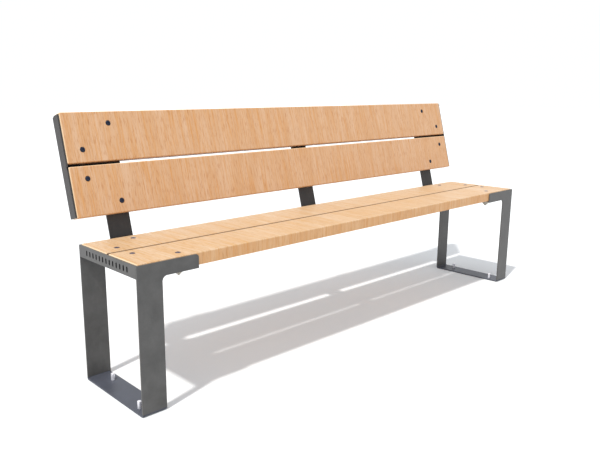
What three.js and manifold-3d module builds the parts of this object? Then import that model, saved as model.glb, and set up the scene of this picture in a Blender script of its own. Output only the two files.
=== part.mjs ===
// A park bench with a backrest: two seat boards and two back boards, carried by two end frames of welded
// and folded steel plate and by a third support of bent flat bar near the middle. Millimetres, +Z up,
// +X along the bench; the sitter faces -Y. The origin is on the ground under the middle of the bench's box.
import * as THREE from "three";
import { mergeVertices } from "three/addons/utils/BufferGeometryUtils.js";
import Module from "manifold-3d";

const wasm = await Module();
wasm.setup();

// Overall sizes
const LENGTH = 2010; // over the two end frames
const DEPTH = 334; // over the front and rear leg plates
const FRAME_TOP = 438; // top edge of the steel round the seat
const STEEL = 5; // every plate and bar
const BEND_INNER = 3; // fold radii
const BEND_OUTER = BEND_INNER + STEEL;

// Boards
const BOARD_WIDTH = 157;
const BOARD_THICKNESS = 38;
const BOARD_ARRIS = 3; // chamfer on the long edges
const SEAT_GAP = 9;
const BACK_GAP = 10;
const WOOD_CLEARANCE = 0.5; // between wood and the steel that surrounds it
const BOARD_LENGTH = LENGTH - 2 * (STEEL + WOOD_CLEARANCE);
const SEAT_TOP = FRAME_TOP + 3; // the wood stands slightly proud of the steel
const SEAT_FRONT = STEEL + WOOD_CLEARANCE;

// End frames
const LEG_WIDTH = 80;
const ARM_LENGTH = 203; // along the seat edge, from the outer face
const FRONT_ARM_HEIGHT = 42;
const ARM_CORNER = 10;
const LEG_FILLET = 15;
const APRON_HEIGHT = 37;
const TRAY_TOP = SEAT_TOP - BOARD_THICKNESS;
const TRAY_LENGTH = 199; // inner edge of the tray, from the outer face
const REAR_ARM_HEIGHT = FRAME_TOP - TRAY_TOP; // the rear arm stands on the tray
const SLOT_COUNT = 13; // plain shallow slots in the end apron
const SLOT_PITCH = 19.5;
const SLOT_DEPTH = 2.5;
const SLOT_WIDTH = 7;
const SLOT_HEIGHT = 17;

// Backrest, in its own frame: Y behind the front face of the boards, Z up the slope
const BACK_TILT = THREE.MathUtils.degToRad(15);
const BACK_Y = 339.8; // lower front edge
const BACK_Z = 515.8;
const BACK_HEIGHT = 2 * BOARD_WIDTH + BACK_GAP;
const SUPPORT_WIDTH = 80;
const SUPPORT_FRONT = BOARD_THICKNESS + 0.3;
const SUPPORT_TOP = BACK_HEIGHT - 5;
const SUPPORT_BOTTOM = 2; // lower edge of the wide plate
const MIDDLE_X = LENGTH / 2 + 8; // the third support stands slightly right of the middle
const MIDDLE_FOOT_FRONT = 14; // front end of its foot
const FLANGE_FRONT = 3; // behind the front face of the boards
const FLANGE_BEND = 1; // inner radius of its fold
const FLANGE_CLIP = [16, 7]; // clipped upper rear corner, depth and height

// Screws through the boards into the end frames
const SCREW_HEAD_RADIUS = 8;
const SCREW_HEAD_SUNK = 2.5;
const SCREW_HEAD_PROUD = 1.5;
const SCREW_RADIUS = 5;
const SCREW_REACH = 55; // from the board's face to the end
const SCREW_CHAMFER = 1.5;
const SCREW_CLEARANCE = 0.4;
const SCREW_NEAR_X = 60; // from the outer face of the end frame
const SCREW_FAR_X = 161;
const SCREW_OUTER_EDGE = 38; // from the pair's outer edges, and from the gap between the boards
const SCREW_INNER_EDGE = 40;

// Pointed cap nuts on those screws, against the far side of the steel
const NUT_RADIUS = 16;
const NUT_RIM = 9.7; // height of the plain rim
const NUT_HEIGHT = NUT_RIM + NUT_RADIUS; // the point slopes at 45 degrees
const NUT_BORE = 14.5; // depth of the blind bore

// Wood screws of the third support, heads against the steel
const WOOD_SCREW_HEAD = [6, 3]; // radius, height
const WOOD_SCREW_RADIUS = 3;
const WOOD_SCREW_REACH = 30; // from under the head to the point
const WOOD_SCREW_POINT = 7;

// Ground anchor studs
const STUD_RADIUS = 6;
const STUD_TOP = 27;
const STUD_CHAMFER = 1;
const STUD_PLACES = { front: [20, 52], rear: [54, 268] }; // from the base plate's left edge and the front

const ROUND_STEPS = 16; // flats round a screw, a stud or its hole
const ARC_STEPS = 8; // flats on each fold, fillet and slot end
const THROUGH = 1; // how far a cutter runs past the piece it cuts

const WOOD = { color: 0xe3b98c, roughness: 0.55, metalness: 0 };
const POWDER_COAT = { color: 0x6b6c6b, roughness: 0.42, metalness: 0.3 };
const DARK_STEEL = { color: 0x232a38, roughness: 0.4, metalness: 0.7 };
const BRIGHT_STEEL = { color: 0xc9c9cf, roughness: 0.35, metalness: 0.9 };
const DULL_STEEL = { color: 0x8d877c, roughness: 0.5, metalness: 0.8 };

function solidOf(geometry) {
  const plain = geometry.index ? geometry.toNonIndexed() : geometry.clone();
  plain.deleteAttribute("normal");
  plain.deleteAttribute("uv");
  const merged = mergeVertices(plain, 1e-3);
  const vertProperties = merged.attributes.position.array;
  const triVerts = new Uint32Array(merged.index.array);
  return new wasm.Manifold(new wasm.Mesh({ numProp: 3, vertProperties, triVerts }));
}

function geometryOf(solid) {
  const mesh = solid.getMesh();
  const geometry = new THREE.BufferGeometry();
  geometry.setAttribute("position", new THREE.BufferAttribute(mesh.vertProperties, 3));
  geometry.setIndex(new THREE.BufferAttribute(mesh.triVerts, 1));
  return geometry;
}

function cut(geometry, cutters) {
  return geometryOf(cutters.reduce((rest, cutter) => rest.subtract(solidOf(cutter)), solidOf(geometry)));
}

function join(...geometries) {
  return geometryOf(geometries.map(solidOf).reduce((all, next) => all.add(next)));
}

function addPart(parent, name, geometry, finish) {
  const mesh = new THREE.Mesh(geometry, new THREE.MeshStandardMaterial(finish));
  mesh.name = name;
  parent.add(mesh);
}

// A shape drawn in X and Z, standing as a plate with its front face at y.
function standingPlate(shape, y) {
  const options = { depth: STEEL, bevelEnabled: false, curveSegments: ARC_STEPS };
  return new THREE.ExtrudeGeometry(shape, options).rotateX(Math.PI / 2).translate(0, y + STEEL, 0);
}

// A shape drawn in Y and Z, drawn out along X.
function alongX(shape, x0, x1) {
  const options = { depth: x1 - x0, bevelEnabled: false, curveSegments: ARC_STEPS };
  const extruded = new THREE.ExtrudeGeometry(shape, options);
  return extruded.rotateX(Math.PI / 2).rotateZ(Math.PI / 2).translate(x0, 0, 0);
}

// A solid of revolution about Z, from [radius, height] points that run up from the axis to the axis.
function turned(...points) {
  const profile = points.map(([radius, height]) => new THREE.Vector2(radius, height));
  return new THREE.LatheGeometry(profile, ROUND_STEPS).rotateX(Math.PI / 2);
}

function outline(...points) {
  return new THREE.Shape(points.map(([x, y]) => new THREE.Vector2(x, y)));
}

function box(x0, x1, y0, y1, z0, z1) {
  const geometry = new THREE.BoxGeometry(x1 - x0, y1 - y0, z1 - z0);
  return geometry.translate((x0 + x1) / 2, (y0 + y1) / 2, (z0 + z1) / 2);
}

// Local geometry of the backrest, turned into place.
function leanBack(geometry) {
  return geometry.rotateX(-BACK_TILT).translate(0, BACK_Y, BACK_Z);
}

// Where screws cross a pair of boards: the board's index, the spot's name, x along the bench and y up
// the width of that board. At an end each board has one screw by the pair's outer edge and one by its gap.
function endScrews() {
  return [
    { board: 0, spot: "outer", x: SCREW_FAR_X, y: SCREW_OUTER_EDGE },
    { board: 0, spot: "inner", x: SCREW_NEAR_X, y: BOARD_WIDTH - SCREW_INNER_EDGE },
    { board: 1, spot: "inner", x: SCREW_NEAR_X, y: SCREW_INNER_EDGE },
    { board: 1, spot: "outer", x: SCREW_FAR_X, y: BOARD_WIDTH - SCREW_OUTER_EDGE },
  ];
}

// The third support has one wood screw in each board.
function middleScrews() {
  return [0, 1].map((board) => ({ board, x: MIDDLE_X, y: BOARD_WIDTH / 2 }));
}

// y of a screw above the lower or front edge of the whole pair.
function upPair(screw, gap) {
  return screw.y + screw.board * (BOARD_WIDTH + gap);
}

// A screw with a low round head, pointing down, with the board's face at height 0.
function boardScrew() {
  return turned(
    [0, -SCREW_REACH],
    [SCREW_RADIUS - SCREW_CHAMFER, -SCREW_REACH],
    [SCREW_RADIUS, SCREW_CHAMFER - SCREW_REACH],
    [SCREW_RADIUS, -SCREW_HEAD_SUNK],
    [SCREW_HEAD_RADIUS, -SCREW_HEAD_SUNK],
    [SCREW_HEAD_RADIUS, SCREW_HEAD_PROUD / 2],
    [SCREW_HEAD_RADIUS * 0.8, SCREW_HEAD_PROUD],
    [0, SCREW_HEAD_PROUD],
  );
}

// The stepped hole that a board screw sits in.
function boardScrewHole() {
  const shank = SCREW_RADIUS + SCREW_CLEARANCE;
  const head = SCREW_HEAD_RADIUS + SCREW_CLEARANCE;
  const seat = -SCREW_HEAD_SUNK - SCREW_CLEARANCE;
  const bottom = -SCREW_REACH - THROUGH;
  return turned([0, bottom], [shank, bottom], [shank, seat], [head, seat], [head, THROUGH], [0, THROUGH]);
}

// A cap nut that points down, with a blind bore from its upper face at height 0.
function capNut() {
  const bore = SCREW_RADIUS + SCREW_CLEARANCE;
  return turned(
    [0, -NUT_HEIGHT],
    [NUT_RADIUS, -NUT_RIM],
    [NUT_RADIUS, 0],
    [bore, 0],
    [bore, -NUT_BORE],
    [0, -NUT_BORE],
  );
}

// A wood screw that points up, with the underside of its head at height 0.
function woodScrew() {
  const [headRadius, headHeight] = WOOD_SCREW_HEAD;
  return turned(
    [0, -headHeight],
    [headRadius * 0.7, -headHeight],
    [headRadius, -headHeight / 2],
    [headRadius, 0],
    [WOOD_SCREW_RADIUS, 0],
    [WOOD_SCREW_RADIUS, WOOD_SCREW_REACH - WOOD_SCREW_POINT],
    [0, WOOD_SCREW_REACH],
  );
}

function woodScrewHole() {
  const radius = WOOD_SCREW_RADIUS + SCREW_CLEARANCE;
  const top = WOOD_SCREW_REACH + SCREW_CLEARANCE;
  return turned([0, -THROUGH], [radius, -THROUGH], [radius, top], [0, top]);
}

// A board lying flat: its length along X, its width from 0 along Y and its upper face at height 0.
function board(index) {
  const [w, t, a] = [BOARD_WIDTH, BOARD_THICKNESS, BOARD_ARRIS];
  const section = outline([a, -t], [w - a, -t], [w, a - t], [w, -a], [w - a, 0], [a, 0], [0, -a], [0, a - t]);
  const start = STEEL + WOOD_CLEARANCE;
  const holes = [];
  for (const { x, y } of endScrews().filter((screw) => screw.board === index))
    holes.push(boardScrewHole().translate(x, y, 0), boardScrewHole().translate(LENGTH - x, y, 0));
  for (const { x, y } of middleScrews().filter((screw) => screw.board === index))
    holes.push(woodScrewHole().translate(x, y, -t - STEEL));
  return cut(alongX(section, start, start + BOARD_LENGTH), holes);
}

// Adds a pair of boards with their screws and nuts to a group in which they lie flat, face up.
function addBoards(group, use, rows, gap, looseness) {
  rows.forEach((row, index) => {
    addPart(group, `${row}_${use}_board`, board(index).translate(0, index * (BOARD_WIDTH + gap), 0), WOOD);
  });
  const farSide = -BOARD_THICKNESS - STEEL - looseness; // of the steel behind the boards
  for (const screw of endScrews()) {
    const spot = `${rows[screw.board]}_${screw.spot}`;
    const y = upPair(screw, gap);
    for (const [side, x] of [["left", screw.x], ["right", LENGTH - screw.x]]) {
      addPart(group, `${side}_${use}_screw_${spot}`, boardScrew().translate(x, y, 0), DARK_STEEL);
      addPart(group, `${side}_${use}_nut_${spot}`, capNut().translate(x, y, farSide), DULL_STEEL);
    }
  }
  for (const screw of middleScrews()) {
    const geometry = woodScrew().translate(screw.x, upPair(screw, gap), farSide);
    addPart(group, `middle_${use}_screw_${rows[screw.board]}`, geometry, DARK_STEEL);
  }
}

// A leg plate with an arm along the seat, rising from the folded ends of the base plate.
function legPlate(armHeight) {
  const armBottom = FRAME_TOP - armHeight;
  const shape = new THREE.Shape();
  shape.moveTo(0, BEND_OUTER);
  shape.lineTo(LEG_WIDTH, BEND_OUTER);
  shape.lineTo(LEG_WIDTH, armBottom - LEG_FILLET);
  shape.absarc(LEG_WIDTH + LEG_FILLET, armBottom - LEG_FILLET, LEG_FILLET, Math.PI, Math.PI / 2, true);
  shape.lineTo(ARM_LENGTH, armBottom);
  shape.lineTo(ARM_LENGTH, FRAME_TOP - ARM_CORNER);
  shape.absarc(ARM_LENGTH - ARM_CORNER, FRAME_TOP - ARM_CORNER, ARM_CORNER, 0, Math.PI / 2, false);
  shape.lineTo(0, FRAME_TOP);
  return shape;
}

// The strip on the ground, with its ends folded up to meet the leg plates.
function basePlate() {
  const shape = new THREE.Shape();
  shape.moveTo(0, BEND_OUTER);
  shape.absarc(BEND_OUTER, BEND_OUTER, BEND_OUTER, Math.PI, 1.5 * Math.PI, false);
  shape.absarc(DEPTH - BEND_OUTER, BEND_OUTER, BEND_OUTER, 1.5 * Math.PI, 2 * Math.PI, false);
  shape.lineTo(DEPTH - STEEL, BEND_OUTER);
  shape.absarc(DEPTH - BEND_OUTER, BEND_OUTER, BEND_INNER, 0, -Math.PI / 2, true);
  shape.absarc(BEND_OUTER, BEND_OUTER, BEND_INNER, -Math.PI / 2, -Math.PI, true);
  return alongX(shape, 0, LEG_WIDTH);
}

// The cross plate on the end of the frame, with a row of plain slots in its outer face.
function endApron() {
  const low = FRAME_TOP - APRON_HEIGHT;
  const middle = low + APRON_HEIGHT / 2;
  const half = (SLOT_HEIGHT - SLOT_WIDTH) / 2;
  const slots = Array.from({ length: SLOT_COUNT }, (_, i) => {
    const y = DEPTH / 2 + (i - (SLOT_COUNT - 1) / 2) * SLOT_PITCH;
    const slot = new THREE.Shape();
    slot.absarc(y, middle + half, SLOT_WIDTH / 2, 0, Math.PI, false);
    slot.absarc(y, middle - half, SLOT_WIDTH / 2, Math.PI, 2 * Math.PI, false);
    return alongX(slot, -THROUGH, SLOT_DEPTH);
  });
  return cut(box(0, STEEL, STEEL, DEPTH - STEEL, low, FRAME_TOP), slots);
}

// Where the foot of a support folds up into its leg: the axis of the fold, in Y and Z.
function foldAxis() {
  const behind = SUPPORT_FRONT - BEND_INNER;
  const z = TRAY_TOP + BEND_INNER;
  const slope = (z - BACK_Z + behind * Math.sin(BACK_TILT)) / Math.cos(BACK_TILT);
  return [BACK_Y + slope * Math.sin(BACK_TILT) + behind * Math.cos(BACK_TILT), z];
}

// The side view of a bar that lies flat under the seat from y, folds up and leans back behind the boards.
function bentBar(footFront, top, x0, x1) {
  const [y, z] = foldAxis();
  const up = (behind) => [
    BACK_Y + top * Math.sin(BACK_TILT) + behind * Math.cos(BACK_TILT),
    BACK_Z + top * Math.cos(BACK_TILT) - behind * Math.sin(BACK_TILT),
  ];
  const shape = new THREE.Shape();
  shape.moveTo(footFront, TRAY_TOP - STEEL);
  shape.absarc(y, z, BEND_OUTER, -Math.PI / 2, -BACK_TILT, false);
  shape.lineTo(...up(SUPPORT_FRONT + STEEL));
  shape.lineTo(...up(SUPPORT_FRONT));
  shape.absarc(y, z, BEND_INNER, -BACK_TILT, -Math.PI / 2, true);
  shape.lineTo(footFront, TRAY_TOP);
  return alongX(shape, x0, x1);
}

// The support at an end: a leg that widens into a plate behind the boards, with a flange folded
// forward over the ends of the boards.
function endSupport() {
  const rear = SUPPORT_FRONT + STEEL;
  const bend = FLANGE_BEND + STEEL;
  const shape = new THREE.Shape(); // seen from above the slope: X and distance behind the boards' face
  shape.moveTo(0, FLANGE_FRONT);
  shape.lineTo(STEEL, FLANGE_FRONT);
  shape.absarc(bend, rear - bend, FLANGE_BEND, Math.PI, Math.PI / 2, true);
  shape.lineTo(TRAY_LENGTH, SUPPORT_FRONT);
  shape.lineTo(TRAY_LENGTH, rear);
  shape.absarc(bend, rear - bend, bend, Math.PI / 2, Math.PI, false);
  const options = { depth: SUPPORT_TOP - SUPPORT_BOTTOM, bevelEnabled: false, curveSegments: ARC_STEPS };
  const plate = new THREE.ExtrudeGeometry(shape, options).translate(0, 0, SUPPORT_BOTTOM);
  const [clipDepth, clipHeight] = FLANGE_CLIP;
  const clip = outline(
    [rear - clipDepth, SUPPORT_TOP],
    [rear, SUPPORT_TOP - clipHeight],
    [rear + THROUGH, SUPPORT_TOP - clipHeight],
    [rear + THROUGH, SUPPORT_TOP + THROUGH],
    [rear - clipDepth, SUPPORT_TOP + THROUGH],
  );
  const holes = endScrews().map((screw) =>
    boardScrewHole().rotateX(Math.PI / 2).translate(screw.x, 0, upPair(screw, BACK_GAP)),
  );
  const local = cut(plate, [alongX(clip, -THROUGH, bend), ...holes]);
  const leg = bentBar(DEPTH, SUPPORT_BOTTOM + THROUGH, TRAY_LENGTH - SUPPORT_WIDTH, TRAY_LENGTH);
  return join(leanBack(local), leg);
}

// The plate under the ends of the seat boards. A tongue runs on under the rear arm to the support.
function seatTray() {
  const low = TRAY_TOP - STEEL;
  const plate = box(STEEL, TRAY_LENGTH, STEEL, DEPTH - STEEL, low, TRAY_TOP);
  const tongue = box(TRAY_LENGTH - SUPPORT_WIDTH, TRAY_LENGTH, DEPTH - 2 * STEEL, DEPTH, low, TRAY_TOP);
  const holes = endScrews().map((screw) =>
    boardScrewHole().translate(screw.x, SEAT_FRONT + upPair(screw, SEAT_GAP), SEAT_TOP),
  );
  return cut(join(plate, tongue), holes);
}

// The third support: a foot under both seat boards and a leg behind both back boards.
function middleSupport() {
  const half = SUPPORT_WIDTH / 2;
  const bar = bentBar(MIDDLE_FOOT_FRONT, SUPPORT_TOP, MIDDLE_X - half, MIDDLE_X + half);
  const headFace = -BOARD_THICKNESS - STEEL;
  const holes = middleScrews().flatMap((screw) => {
    const seatY = SEAT_FRONT + upPair(screw, SEAT_GAP);
    const seatHole = woodScrewHole().translate(screw.x, seatY, SEAT_TOP + headFace);
    const backHole = woodScrewHole().translate(0, 0, headFace).rotateX(Math.PI / 2);
    return [seatHole, leanBack(backHole.translate(screw.x, 0, upPair(screw, BACK_GAP)))];
  });
  return cut(bar, holes);
}

function anchorStud() {
  const [r, c] = [STUD_RADIUS, STUD_CHAMFER];
  return turned([0, 0], [r, 0], [r, STUD_TOP - c], [r - c, STUD_TOP], [0, STUD_TOP]);
}

function studHole(x, y) {
  const radius = STUD_RADIUS + SCREW_CLEARANCE;
  const top = STEEL + THROUGH;
  return turned([0, -THROUGH], [radius, -THROUGH], [radius, top], [0, top]).translate(x, y, 0);
}

// Everything of one end frame but its base plate, drawn at the left end.
function addEndFrame(group, side) {
  addPart(group, `${side}_front_leg`, standingPlate(legPlate(FRONT_ARM_HEIGHT), 0), POWDER_COAT);
  addPart(group, `${side}_rear_leg`, standingPlate(legPlate(REAR_ARM_HEIGHT), DEPTH - STEEL), POWDER_COAT);
  addPart(group, `${side}_end_apron`, endApron(), POWDER_COAT);
  addPart(group, `${side}_seat_tray`, seatTray(), POWDER_COAT);
  addPart(group, `${side}_back_support`, endSupport(), POWDER_COAT);
}

// A base plate with its two studs, which stand at the same places from its left edge at either end.
function addBase(group, side, x) {
  const holes = Object.values(STUD_PLACES).map(([across, y]) => studHole(across, y));
  addPart(group, `${side}_base_plate`, cut(basePlate(), holes).translate(x, 0, 0), POWDER_COAT);
  for (const [place, [across, y]] of Object.entries(STUD_PLACES))
    addPart(group, `${side}_anchor_stud_${place}`, anchorStud().translate(x + across, y, 0), BRIGHT_STEEL);
}

function buildBench() {
  const bench = new THREE.Group();

  const leftEnd = new THREE.Group();
  addEndFrame(leftEnd, "left");
  const rightEnd = new THREE.Group();
  rightEnd.scale.x = -1;
  rightEnd.position.x = LENGTH;
  addEndFrame(rightEnd, "right");
  addBase(bench, "left", 0);
  addBase(bench, "right", LENGTH - LEG_WIDTH);
  addPart(bench, "middle_support", middleSupport(), POWDER_COAT);

  const seat = new THREE.Group();
  seat.position.set(0, SEAT_FRONT, SEAT_TOP);
  addBoards(seat, "seat", ["front", "rear"], SEAT_GAP, 0);

  const back = new THREE.Group();
  back.position.set(0, BACK_Y, BACK_Z);
  back.rotation.x = Math.PI / 2 - BACK_TILT;
  addBoards(back, "back", ["lower", "upper"], BACK_GAP, 0.6);

  bench.add(leftEnd, rightEnd, seat, back);
  const middle = new THREE.Box3().setFromObject(bench, true).getCenter(new THREE.Vector3());
  bench.position.set(-middle.x, -middle.y, 0);
  return bench;
}

export default buildBench();
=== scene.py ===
"""A park bench with a backrest, shown on a plain pale floor in soft light.

Metres, +Z up, +X along the bench; a sitter faces -Y. The pieces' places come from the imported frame.
"""

import math

import bmesh
import bpy
from mathutils import Matrix, Vector


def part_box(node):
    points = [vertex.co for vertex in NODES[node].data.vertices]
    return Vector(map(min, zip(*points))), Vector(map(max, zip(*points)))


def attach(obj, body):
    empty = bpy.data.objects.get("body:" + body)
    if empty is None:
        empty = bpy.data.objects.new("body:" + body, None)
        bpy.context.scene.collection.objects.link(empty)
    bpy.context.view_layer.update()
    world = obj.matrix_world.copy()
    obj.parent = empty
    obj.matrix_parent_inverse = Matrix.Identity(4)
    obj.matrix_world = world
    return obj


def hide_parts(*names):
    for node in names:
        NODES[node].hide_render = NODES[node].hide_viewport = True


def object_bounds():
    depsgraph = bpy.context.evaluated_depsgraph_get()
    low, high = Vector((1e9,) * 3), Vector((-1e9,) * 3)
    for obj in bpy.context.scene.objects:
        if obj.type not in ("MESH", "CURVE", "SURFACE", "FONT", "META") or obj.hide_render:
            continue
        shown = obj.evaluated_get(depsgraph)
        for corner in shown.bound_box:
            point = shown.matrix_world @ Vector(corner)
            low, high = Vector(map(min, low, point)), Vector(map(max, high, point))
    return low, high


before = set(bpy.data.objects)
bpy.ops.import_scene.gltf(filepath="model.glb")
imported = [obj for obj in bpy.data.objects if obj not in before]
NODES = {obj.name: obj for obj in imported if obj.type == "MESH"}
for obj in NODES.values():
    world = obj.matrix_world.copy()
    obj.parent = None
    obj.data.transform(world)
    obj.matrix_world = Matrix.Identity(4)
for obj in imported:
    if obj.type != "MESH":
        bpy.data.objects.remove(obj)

MM = 0.001
CAD_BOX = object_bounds()

# Camera
CAMERA_PLACE = (-1.8356, -1.6853, 0.8942)
CAMERA_HEADING = 0.7350  # radians from +Y towards +X
CAMERA_TILT = -0.2111  # radians above the horizon
CAMERA_LENS = 38.41  # mm, like the sensor
CAMERA_SENSOR = 36
CAMERA_SHIFT = (0.05, 0.0033)

# Light
KEY_TRAVEL = Vector((0.558, 0.152, -1))  # the way the key light goes
KEY_STRENGTH = 3.3
KEY_SIZE = 0.05  # radians across, as the floor sees it
KEY_COLOUR = (1, 0.97, 0.92)
STUDIO_LIGHT = (1.0, 1.02, 1.04)

# Floor
FLOOR_SIZE = 60
FLOOR_COLOUR = (0.70, 0.715, 0.735)

# Finishes, as linear colours
# The seat's beech is painted paler and less saturated than the back's, as painted light on its lit top
SEAT_WOOD = {
    "pale": (0.537, 0.398, 0.272),
    "mid": (0.490, 0.330, 0.196),
    "streak": (0.48, 0.265, 0.090),
    "fleck": (0.37, 0.195, 0.065),
}
BACK_WOOD = {
    "pale": (0.545, 0.348, 0.214),
    "mid": (0.500, 0.286, 0.146),
    "streak": (0.50, 0.232, 0.064),
    "fleck": (0.37, 0.155, 0.045),
}
EDGE_SHADE_TINT = (1.03, 0.84, 0.62)  # painted shade on the seat boards' edges and undersides, darker and more orange than the top
# Painted highlight on the wood's ends and upper arris, painted shade on its lower arris and on the far
# side of the seat gap
ARRIS_HIGHLIGHT_WOOD = (0.78, 0.64, 0.44)
ARRIS_SHADE_WOOD = (0.62, 0.28, 0.09)
GAP_SHADE_BROWN = (0.07, 0.035, 0.02)
LEG_COAT = (0.079, 0.078, 0.077)
# The supports' coat is the legs' coat painted darker, as painted shade behind the back boards
SHADED_SUPPORT_COAT = (0.040, 0.037, 0.037)
# The base plates' coat is painted darker and bluer than the legs': painted shade and a painted reflection
# of a bluish sky
SKY_TINTED_BASE_COAT = (0.060, 0.066, 0.086)
DUST = (0.16, 0.158, 0.154)
# Painted shade: near black for the supports' front seen through the back boards' gap
GAP_SHADE_BLACK = (0.003, 0.003, 0.003)
SLOT_BLACK = (0.008, 0.008, 0.010)
SCREW_BLUE = (0.022, 0.027, 0.048)
SEAT_SCREW_BLUE = (0.13, 0.125, 0.18)  # paler than the back's screws as a painted reflection of the sky
NUT_GREY = (0.34, 0.31, 0.26)
STUD_GREY = (0.78, 0.78, 0.84)

# Pale, rubbed spots of the bare and blued steel
RUBBED_BLUE = (0.05, 0.06, 0.10)
RUBBED_SEAT_BLUE = (0.24, 0.23, 0.32)
RUBBED_NUT = (0.45, 0.42, 0.36)
RUBBED_STUD = (0.88, 0.88, 0.92)

# Sizes
BOARD_ROUNDING = 3.5 * MM
STEEL_ROUNDING = 0.7 * MM
STUD_ROUNDING = 0.4 * MM
SLOT_DEPTH = 2.5 * MM
SLOT_MARGIN = 5 * MM  # less than any slot's distance from the apron's edges
BACK_GAP = 10 * MM
SAME_POINT = 0.01 * MM
FLAT_BELOW = math.radians(0.5)
SMOOTH_BELOW = math.radians(35)

# Distances from an edge or face at which the wood's painted highlight and painted shade are full, and at
# which they have gone
ARRIS_FADE = (0.5 * MM, 2.5 * MM)
FACE_FADE = (1 * MM, 4 * MM)
UNDER_FADE = (1 * MM, 3 * MM)
GAP_FADE = (0.6 * MM, 1.8 * MM)

# Fasteners: radii and distances from the face that a screw enters or a nut meets
BOARD_SCREW = {
    "reach": 55 * MM,
    "shank": 5 * MM,
    "head": 8 * MM,
    "head_height": 4 * MM,
    "sunk": 2.5 * MM,
    "thread_from": 30 * MM,
    "pitch": 1.5 * MM,
    "point": 1.5 * MM,
}
WOOD_SCREW = {
    "reach": 30 * MM,
    "shank": 3 * MM,
    "head": 6 * MM,
    "head_height": 3 * MM,
    "sunk": 0,
    "thread_from": 8 * MM,
    "pitch": 2.5 * MM,
    "point": 7 * MM,
}
CAP_NUT = {"radius": 16 * MM, "rim": 9.7 * MM, "bore": 5.4 * MM, "bore_depth": 14.5 * MM}
RECESS_RADIUS = 8.3 * MM  # in a board's face, for a screw head
RECESS_DEPTH = 2.9 * MM
RECESS_LIP = 0.9 * MM


def add_camera():
    data = bpy.data.cameras.new("camera")
    data.sensor_width = CAMERA_SENSOR
    data.lens = CAMERA_LENS
    data.shift_x, data.shift_y = CAMERA_SHIFT
    camera = bpy.data.objects.new("camera", data)
    camera.location = CAMERA_PLACE
    camera.rotation_euler = (math.pi / 2 + CAMERA_TILT, 0, -CAMERA_HEADING)
    bpy.context.scene.collection.objects.link(camera)
    bpy.context.scene.camera = camera


class Shader:
    """A node tree under construction: node() adds a node and links or sets its inputs by name."""

    def __init__(self, owner):
        owner.use_nodes = True
        self.owner = owner
        self.tree = owner.node_tree
        self.tree.nodes.clear()

    def put(self, value, socket):
        if isinstance(value, bpy.types.NodeSocket):
            self.tree.links.new(value, socket)
        elif socket.type == "RGBA":
            socket.default_value = (*value, 1)
        else:
            socket.default_value = value

    def node(self, kind, inputs=None, **settings):
        made = self.tree.nodes.new("ShaderNode" + kind)
        for name, value in settings.items():
            setattr(made, name, value)
        for name, value in (inputs or {}).items():
            self.put(value, made.inputs[name])
        return made

    def math(self, operation, a, b=0.0, c=0.0):
        return self.node("Math", {0: a, 1: b, 2: c}, operation=operation).outputs[0]

    def vector(self, operation, a, b):
        return self.node("VectorMath", {0: a, 1: b}, operation=operation).outputs["Vector"]

    def split(self, vector):
        return self.node("SeparateXYZ", {"Vector": vector}).outputs

    def mix(self, factor, a, b, blend="MIX"):
        node = self.node("Mix", data_type="RGBA", blend_type=blend)
        for index, value in ((0, factor), (6, a), (7, b)):
            self.put(value, node.inputs[index])
        return node.outputs[2]

    def noise(self, place, stretch, detail=2.0, roughness=0.5):
        """Noise from 0 to 1 whose features are about 1 / stretch metres long along each axis."""
        scaled = self.vector("MULTIPLY", place, stretch)
        inputs = {"Vector": scaled, "Scale": 1.0, "Detail": detail, "Roughness": roughness}
        return self.node("TexNoise", inputs).outputs["Fac"]

    def remap(self, value, low, high, to_low=0.0, to_high=1.0):
        inputs = {"Value": value, "From Min": low, "From Max": high}
        inputs |= {"To Min": to_low, "To Max": to_high}
        return self.node("MapRange", inputs, clamp=True).outputs[0]

    def fade(self, distance, full, gone):
        """1 up to the distance full, falling to 0 at the distance gone."""
        return self.remap(distance, gone, full)

    def place(self, offset=(0, 0, 0)):
        return self.vector("ADD", self.node("TexCoord").outputs["Object"], offset)

    def bump(self, height, strength, distance):
        inputs = {"Height": height, "Strength": strength, "Distance": distance}
        return self.node("Bump", inputs).outputs[0]

    def finish(self, **inputs):
        spaced = {name.replace("_", " "): value for name, value in inputs.items()}
        shader = self.node("BsdfPrincipled", spaced)
        self.node("OutputMaterial", {"Surface": shader.outputs[0]})
        return self.owner


def material(name):
    return Shader(bpy.data.materials.new(name))


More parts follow.
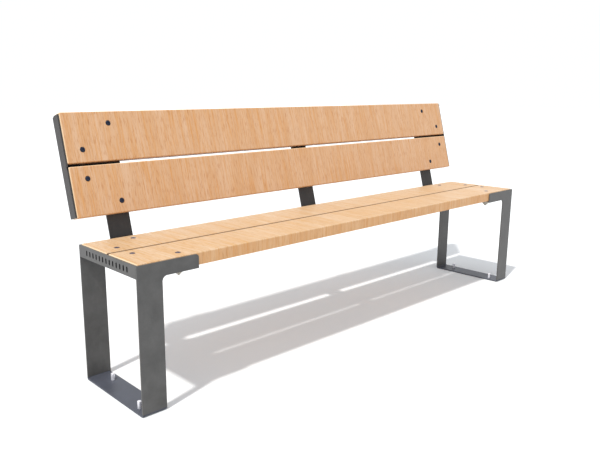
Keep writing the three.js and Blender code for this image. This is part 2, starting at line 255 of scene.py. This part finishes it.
def wood(name, offset, colours, low, high, gap_shade_edge):
    """Beech whose streaks run across the board: they change fast along X and slowly along Y and Z.

    offset moves the pattern, so that no two boards are alike, and low and high are the board's corners.
    The ends and the upper arris get a painted highlight and the lower arris painted shade. With the gap
    flag, the whole edge at low.y gets dark brown painted shade instead, as it forms the far side of a
    gap.
    """
    m = material(name)
    place = m.place()
    x, y, z = (m.split(place)[axis] for axis in "XYZ")
    from_end = m.math("MINIMUM", m.math("SUBTRACT", x, low.x), m.math("SUBTRACT", high.x, x))
    from_top = m.math("SUBTRACT", high.y, y)
    from_bottom = m.math("SUBTRACT", y, low.y)
    from_face = m.math("SUBTRACT", high.z, z)

    wander = m.remap(m.noise(place, (6, 14, 14)), 0, 1, -0.003, 0.003)
    drift = m.math("MULTIPLY_ADD", y, 0.02, wander)
    grain = m.vector("ADD", m.place(offset), m.node("CombineXYZ", {"X": drift}).outputs[0])
    bands = m.noise(grain, (30, 4, 4), detail=3)
    streaks = m.noise(grain, (190, 5, 5), detail=4, roughness=0.72)
    pores = m.noise(grain, (760, 34, 34), detail=2, roughness=0.6)
    flecks = m.remap(m.noise(grain, (360, 32, 32), detail=2, roughness=0.6), 0.54, 0.66)

    colour = m.mix(m.remap(bands, 0.35, 0.68), colours["pale"], colours["mid"])
    colour = m.mix(m.remap(streaks, 0.46, 0.66, 0, 0.95), colour, colours["streak"])
    colour = m.mix(m.remap(streaks, 0.42, 0.26, 0, 0.8), colour, colours["pale"])
    colour = m.mix(m.remap(pores, 0.35, 0.8, 0, 0.35), colour, colours["mid"])
    colour = m.mix(m.math("MULTIPLY", flecks, 0.65), colour, colours["fleck"])
    # Painted shade: the seat boards darken to a more orange tone away from their top face
    if colours is SEAT_WOOD:
        tinted = m.mix(1.0, colour, EDGE_SHADE_TINT, "MULTIPLY")
        colour = m.mix(m.remap(from_face, *FACE_FADE), colour, tinted)

    near_face = m.fade(from_face, *FACE_FADE)
    # Painted highlight: the ends and the upper arris are made paler, as if catching the light
    pale = m.math("MULTIPLY", m.fade(from_top, *ARRIS_FADE), near_face)
    pale = m.math("MAXIMUM", pale, m.fade(from_end, *ARRIS_FADE))
    colour = m.mix(m.math("MULTIPLY", pale, 0.6), colour, ARRIS_HIGHLIGHT_WOOD)
    # Painted shade: darker brown on the far side of a gap, the back boards' lower arris or the front seat
    # board's underside
    if gap_shade_edge:
        shade = m.fade(from_bottom, *GAP_FADE)
    elif colours is BACK_WOOD:
        shade = m.math("MULTIPLY", m.fade(from_bottom, *UNDER_FADE), near_face)
    else:
        from_under = m.math("SUBTRACT", z, low.z)
        shade = m.math("MULTIPLY", m.fade(from_under, *UNDER_FADE), 0.8)
    shade_colour = GAP_SHADE_BROWN if gap_shade_edge else ARRIS_SHADE_WOOD
    colour = m.mix(m.math("MULTIPLY", shade, 0.7), colour, shade_colour)

    height = m.math("MULTIPLY_ADD", pores, 0.7, m.math("MULTIPLY", streaks, 0.5))
    roughness = m.remap(streaks, 0.3, 0.7, 0.42, 0.56)
    relief = m.bump(height, strength=0.25, distance=0.3 * MM)
    return m.finish(Base_Color=colour, Roughness=roughness, Normal=relief)


def powder_coat(name, colour, gap=None):
    """Satin coat with cloudy mottling, a fine peel and a little dust.

    gap is the lowest and highest Z of the gap between the back boards, where the front is painted near
    black as painted shade.
    """
    m = material(name)
    place = m.place()
    clouds = m.noise(place, (16, 16, 16), detail=5, roughness=0.65)
    peel = m.noise(place, (420, 420, 420), detail=2)
    dust = m.remap(m.noise(place, (60, 60, 22), detail=5, roughness=0.7), 0.55, 0.8, 0, 0.12)
    dark, light = (tuple(c * scale for c in colour) for scale in (0.82, 1.2))
    shade = m.mix(m.remap(clouds, 0.3, 0.7), dark, light)
    shade = m.mix(dust, shade, DUST)
    # Painted shade: the front face inside the back boards' gap is painted near black
    if gap:
        middle, half = (gap[0] + gap[1]) / 2, (gap[1] - gap[0]) / 2
        inside = m.math("COMPARE", m.split(place)["Z"], middle, half)
        towards = m.remap(m.split(m.node("NewGeometry").outputs["Normal"])["Y"], -0.5, -0.8)
        shade = m.mix(m.math("MULTIPLY", inside, towards), shade, GAP_SHADE_BLACK)
    roughness = m.remap(clouds, 0.3, 0.7, 0.34, 0.46)
    relief = m.bump(peel, strength=0.05, distance=0.2 * MM)
    return m.finish(Base_Color=shade, Roughness=roughness, Specular_IOR_Level=0.25, Normal=relief)


def slot_fill():
    """Matt black paint in the apron's slots, slightly worn."""
    m = material("slot_fill")
    wear = m.remap(m.noise(m.place(), (400, 400, 400), detail=3), 0.55, 0.75, 0, 0.25)
    colour = m.mix(wear, SLOT_BLACK, LEG_COAT)
    return m.finish(Base_Color=colour, Roughness=0.7, Specular_IOR_Level=0.2)


def machined(name, colour, pale, metallic, roughness):
    """Bare or blued steel with fine turning marks round its Z axis and a few paler rubbed spots."""
    m = material(name)
    place = m.place()
    rings = m.noise(place, (60, 60, 2500), detail=2)
    rubbed = m.remap(m.noise(place, (500, 500, 500), detail=3), 0.52, 0.72, 0, 0.5)
    blend = m.mix(rubbed, colour, pale)
    rough = m.remap(rings, 0.3, 0.7, roughness - 0.06, roughness + 0.08)
    marks = m.bump(rings, strength=0.15, distance=0.05 * MM)
    return m.finish(Base_Color=blend, Metallic=metallic, Roughness=rough, Normal=marks)


def new_piece(name, mesh, finish, nodes, turn=Matrix.Identity(4)):
    """Puts a mesh in the scene in place of the CAD nodes it stands for."""
    mesh.materials.clear()
    mesh.materials.append(finish)
    piece = bpy.data.objects.new(name, mesh)
    piece.matrix_world = turn
    bpy.context.scene.collection.objects.link(piece)
    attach(piece, "root")
    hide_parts(*nodes)
    weighted = piece.modifiers.new("weighted normals", "WEIGHTED_NORMAL")
    weighted.keep_sharp = True
    weighted.weight = 100
    return piece


def mesh_from(bm, name):
    """Ends an edit mesh: faces are smooth and only edges over the angle limit stay sharp."""
    bmesh.ops.recalc_face_normals(bm, faces=bm.faces)
    for face in bm.faces:
        face.smooth = True
    for edge in bm.edges:
        edge.smooth = len(edge.link_faces) == 2 and edge.calc_face_angle(0) < SMOOTH_BELOW
    mesh = bpy.data.meshes.new(name)
    bm.to_mesh(mesh)
    bm.free()
    return mesh


def cad_copy(node):
    """A CAD node's mesh as an edit mesh with its flat faces whole again."""
    bm = bmesh.new()
    bm.from_mesh(NODES[node].data)
    bmesh.ops.remove_doubles(bm, verts=bm.verts, dist=SAME_POINT)
    bmesh.ops.dissolve_limit(bm, angle_limit=FLAT_BELOW, verts=bm.verts, edges=bm.edges)
    return bm


def rounded_steel(node, finish, rounding=STEEL_ROUNDING):
    """A CAD node's own shape with its sharp edges rounded."""
    bm = cad_copy(node)
    folded = [e for e in bm.edges if len(e.link_faces) == 2]
    sharp = [e for e in folded if e.calc_face_angle(0) > SMOOTH_BELOW]
    shape = {"segments": 2, "profile": 0.5, "affect": "EDGES", "clamp_overlap": True}
    bmesh.ops.bevel(bm, geom=sharp, offset=rounding, **shape)
    return new_piece(node + "_finished", mesh_from(bm, node), finish, [node])


def apron(node, coat, fill):
    """An end apron whose slots are filled with dark paint."""
    piece = rounded_steel(node, coat)
    piece.data.materials.append(fill)
    low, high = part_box(node)
    outer = low.x if low.x < 0 else high.x
    for face in piece.data.polygons:
        x, y, z = face.center
        deep = STEEL_ROUNDING < abs(x - outer) < SLOT_DEPTH + STEEL_ROUNDING / 2
        along = low.y + SLOT_MARGIN < y < high.y - SLOT_MARGIN
        upright = low.z + SLOT_MARGIN < z < high.z - SLOT_MARGIN
        if deep and along and upright:
            face.material_index = 1


def local_box(node, turn):
    """Lowest and highest corner of a CAD node in a frame turned about the origin."""
    back = turn.to_3x3().inverted()
    points = [back @ v.co for v in NODES[node].data.vertices]
    low = Vector(min(p[i] for p in points) for i in range(3))
    high = Vector(max(p[i] for p in points) for i in range(3))
    return low, high


def ring(bm, radius_at, height, steps):
    corners = []
    for i in range(steps):
        angle = 2 * math.pi * i / steps
        r = radius_at(angle)
        corners.append(bm.verts.new((r * math.cos(angle), r * math.sin(angle), height)))
    return corners


def bridge(bm, lower, upper):
    count = len(lower)
    for i in range(count):
        j = (i + 1) % count
        bm.faces.new((lower[i], lower[j], upper[j], upper[i]))


def turned(bm, profile, steps):
    """A closed turned body from (radius or radius function, height) pairs that run up."""
    rings = []
    for radius, height in profile:
        radius_at = radius if callable(radius) else lambda _angle, r=radius: r
        rings.append(ring(bm, radius_at, height, steps))
    for lower, upper in zip(rings, rings[1:]):
        bridge(bm, lower, upper)
    bm.faces.new(reversed(rings[0]))
    bm.faces.new(rings[-1])


def lobes(radius):
    """The outline of a six-lobed socket."""
    return lambda angle: radius * (1 + 0.13 * math.cos(6 * angle))


def proud(screw):
    """How far a screw's head stands out of the face that it enters."""
    return screw["head_height"] - screw["sunk"]


def screw_mesh(name, reach, shank, head, head_height, sunk, thread_from, pitch, point):
    """A round-head screw pointing down, with its head's underside at -sunk and a lobed socket on top."""
    rows = []
    rows_per_turn, dome_rows, dome_reach = 8, 6, math.radians(72)
    count = round((reach - thread_from) / pitch * rows_per_turn)
    for i in range(count):
        height = -reach + (reach - thread_from) * i / count
        taper = min(1.0, 0.04 + (height + reach) / point)

        def threaded(angle, height=height, taper=taper):
            turn = (height / pitch - angle / (2 * math.pi)) % 1
            crest = max(0.0, 1 - abs(turn - 0.5) * 3.2)
            return taper * shank * (0.80 + 0.20 * crest)

        rows.append((threaded, height))
    under, rim = -sunk, 0.3 * MM
    rows += [(shank, -thread_from), (shank, under), (head * 0.97, under), (head, under + rim)]
    top = head_height - sunk
    for i in range(1, dome_rows + 1):
        angle = i / dome_rows * dome_reach
        rise = math.sin(angle) / math.sin(dome_reach)
        rows.append((head * (0.28 + 0.72 * math.cos(angle) ** 0.8), top * rise))
    socket, chamfer, wall_depth, full_depth = head * 0.32, 0.2 * MM, 1.6 * MM, 1.9 * MM
    rows += [(lobes(socket * 1.06), top), (lobes(socket), top - chamfer)]
    rows += [(lobes(socket * 0.96), top - wall_depth), (socket * 0.15, top - full_depth)]
    bm = bmesh.new()
    turned(bm, rows, steps=24)
    return mesh_from(bm, name)


def nut_mesh(radius, rim, bore, bore_depth):
    """A cap nut pointing down: a grooved rim, a 45 degree point with a blunt tip and a blind bore."""
    tip, edge, chamfer, countersink = 1.2 * MM, 0.8 * MM, 0.4 * MM, 0.5 * MM
    groove, mouth, floor, depth = -2.7 * MM, 0.7 * MM, 0.3 * MM, 0.7 * MM
    end = -rim - radius
    rows = [(tip * 0.4, end + tip * 0.5), (tip * 0.9, end + tip * 0.7), (tip * 1.5, end + tip * 1.5)]
    rows += [(radius - edge, -rim - edge), (radius - edge * 0.25, -rim - edge * 0.2)]
    rows += [(radius, -rim + edge), (radius, groove - mouth)]
    rows += [(radius - depth, groove - floor), (radius - depth, groove + floor)]
    rows += [(radius, groove + mouth), (radius, -chamfer), (radius - chamfer, 0)]
    rows += [(bore + countersink, 0), (bore, -countersink), (bore, -bore_depth)]
    bm = bmesh.new()
    turned(bm, rows, steps=48)
    return mesh_from(bm, "cap_nut")


def rounded_board(low, high):
    """A long board with round arrises, as an edit mesh."""
    bm = bmesh.new()
    bmesh.ops.create_cube(bm, size=1)
    size = high - low
    bmesh.ops.scale(bm, vec=size, verts=bm.verts)
    bmesh.ops.translate(bm, vec=(low + high) / 2, verts=bm.verts)
    shape = {"segments": 5, "profile": 0.5, "affect": "EDGES"}
    bmesh.ops.bevel(bm, geom=bm.edges, offset=BOARD_ROUNDING, **shape)
    return bm


def drill(bm, name, places, face):
    """Cuts a chamfered recess for a screw head into the board's face at each place."""
    radius, lip = RECESS_RADIUS, RECESS_LIP
    profile = [(radius, face - RECESS_DEPTH), (radius, face - lip)]
    profile += [(radius + lip, face), (radius + 3 * lip, face + 2 * lip)]
    cutter = bmesh.new()
    for x, y in places:
        recess = bmesh.new()
        turned(recess, profile, steps=32)
        bmesh.ops.translate(recess, vec=(x, y, 0), verts=recess.verts)
        part = bpy.data.meshes.new("recess")
        recess.to_mesh(part)
        recess.free()
        cutter.from_mesh(part)
        bpy.data.meshes.remove(part)
    bmesh.ops.recalc_face_normals(cutter, faces=cutter.faces)
    tool = bpy.data.objects.new("cutter", bpy.data.meshes.new("cutter"))
    cutter.to_mesh(tool.data)
    cutter.free()
    blank = bpy.data.objects.new("blank", bpy.data.meshes.new("blank"))
    bmesh.ops.recalc_face_normals(bm, faces=bm.faces)
    bm.to_mesh(blank.data)
    bm.free()
    for helper in (tool, blank):
        bpy.context.scene.collection.objects.link(helper)
    cut = blank.modifiers.new("cut", "BOOLEAN")
    cut.operation = "DIFFERENCE"
    cut.solver = "EXACT"
    cut.object = tool
    bpy.context.view_layer.update()
    done = bmesh.new()
    done.from_object(blank, bpy.context.evaluated_depsgraph_get())
    for helper in (tool, blank):
        bpy.data.objects.remove(helper)
    return mesh_from(done, name)


def board(node, offset, colours, turn, screws, gap_shade_edge):
    """A board in its turned frame, where Z leads out of the face that the screws enter."""
    low, high = local_box(node, turn)
    places = []
    for screw in screws:
        middle = sum(local_box(screw, turn), Vector()) / 2
        places.append((middle.x, middle.y))
    grain = wood("beech_" + node, offset, colours, low, high, gap_shade_edge)
    mesh = drill(rounded_board(low, high), node, places, high.z)
    return new_piece(node + "_finished", mesh, grain, [node], turn)


def fastener(node, mesh, finish, slot, turn, anchor, flipped=False):
    """Puts a screw or nut on its CAD node's axis, anchor below its top, or flipped, above its foot."""
    low, high = local_box(node, turn)
    middle = (low + high) / 2
    if flipped:
        local = Matrix.Translation((middle.x, middle.y, low.z + anchor))
        local @= Matrix.Rotation(math.pi, 4, "X")
    else:
        local = Matrix.Translation((middle.x, middle.y, high.z - anchor))
    return new_piece(node + "_finished", mesh, finish, [node], turn @ local)


def backrest_turn():
    """The frame of the back boards: X along them, Y up their slope and Z out of their front face."""
    lower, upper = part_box("lower_back_board")[0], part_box("upper_back_board")[0]
    step = upper - lower
    lean = math.atan2(step.y, step.z)
    return Matrix.Rotation(math.pi / 2 - lean, 4, "X")


def build_boards_and_fasteners():
    wood_screw = screw_mesh("wood_screw", **WOOD_SCREW)
    nut = nut_mesh(**CAP_NUT)
    blued = machined("blued_steel", SCREW_BLUE, RUBBED_BLUE, metallic=0.85, roughness=0.36)
    # The seat screws' finish is painted paler as a painted reflection of the sky, with rubbed spots as
    # well
    worn = machined("worn_steel_with_painted_sheen", SEAT_SCREW_BLUE, RUBBED_SEAT_BLUE, metallic=0.85, roughness=0.36)
    zinc = machined("dull_zinc", NUT_GREY, RUBBED_NUT, metallic=0.45, roughness=0.45)
    board_screws = {
        "seat": (screw_mesh("seat_board_screw", **BOARD_SCREW), worn),
        "back": (screw_mesh("back_board_screw", **BOARD_SCREW), blued),
    }
    seat, back = Matrix.Identity(4), backrest_turn()
    for row, use, turn, colours, offset in (
        ("front", "seat", seat, SEAT_WOOD, (0, 0, 0.9)),
        ("rear", "seat", seat, SEAT_WOOD, (3.1, 1.7, 0.9)),
        ("lower", "back", back, BACK_WOOD, (0, 0, 5.3)),
        ("upper", "back", back, BACK_WOOD, (3.1, 1.7, 5.3)),
    ):
        end_screws = [n for n in NODES if f"_{use}_screw_{row}_" in n]
        board(f"{row}_{use}_board", offset, colours, turn, end_screws, gap_shade_edge=row == "rear")
        for n in end_screws:
            fastener(n, *board_screws[use], "screw_steel", turn, proud(BOARD_SCREW))
            fastener(n.replace("_screw_", "_nut_"), nut, zinc, "nut_steel", turn, 0)
        n = f"middle_{use}_screw_{row}"
        fastener(n, wood_screw, blued, "screw_steel", turn, proud(WOOD_SCREW), flipped=True)


def build_steel():
    leg_coat = powder_coat("powder_coat", LEG_COAT)
    gap_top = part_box("upper_back_board")[0].z
    back_gap = (gap_top - BACK_GAP, gap_top)
    shaded_support_coat = powder_coat("support_powder_coat", SHADED_SUPPORT_COAT, back_gap)
    sky_tinted_base_coat = powder_coat("sky_tinted_base_powder_coat", SKY_TINTED_BASE_COAT)
    fill = slot_fill()
    bright = machined("bright_steel", STUD_GREY, RUBBED_STUD, metallic=0.5, roughness=0.30)
    for node in NODES:
        if "anchor_stud" in node:
            rounded_steel(node, bright, STUD_ROUNDING)
        elif node.endswith("_apron"):
            apron(node, leg_coat, fill)
        elif node.endswith("_support"):
            rounded_steel(node, shaded_support_coat)
        elif node.endswith("_base_plate"):
            rounded_steel(node, sky_tinted_base_coat)
        elif node.endswith(("_leg", "_tray")):
            rounded_steel(node, leg_coat)


def add_studio_light():
    """Even light from all sides."""
    world = bpy.data.worlds.new("studio")
    s = Shader(world)
    background = s.node("Background", {"Color": STUDIO_LIGHT, "Strength": 1.0})
    s.node("OutputWorld", {"Surface": background.outputs[0]})
    bpy.context.scene.world = world


def add_key_light():
    light = bpy.data.lights.new("key", "SUN")
    light.energy = KEY_STRENGTH
    light.angle = KEY_SIZE
    light.color = KEY_COLOUR
    key = bpy.data.objects.new("key", light)
    key.rotation_mode = "QUATERNION"
    key.rotation_quaternion = KEY_TRAVEL.to_track_quat("-Z", "Y")
    bpy.context.scene.collection.objects.link(key)


def floor_paint():
    return material("floor").finish(Base_Color=FLOOR_COLOUR, Roughness=0.95, Specular_IOR_Level=0.0)


def build_stage():
    bpy.context.scene.view_settings.view_transform = "Standard"
    add_studio_light()
    add_key_light()
    bm = bmesh.new()
    bmesh.ops.create_grid(bm, x_segments=8, y_segments=8, size=FLOOR_SIZE / 2)
    mesh = bpy.data.meshes.new("floor")
    bm.to_mesh(mesh)
    bm.free()
    mesh.materials.append(floor_paint())
    floor = bpy.data.objects.new("floor", mesh)
    floor.location.z = CAD_BOX[0].z
    bpy.context.scene.collection.objects.link(floor)


add_camera()
build_stage()
build_boards_and_fasteners()
build_steel()
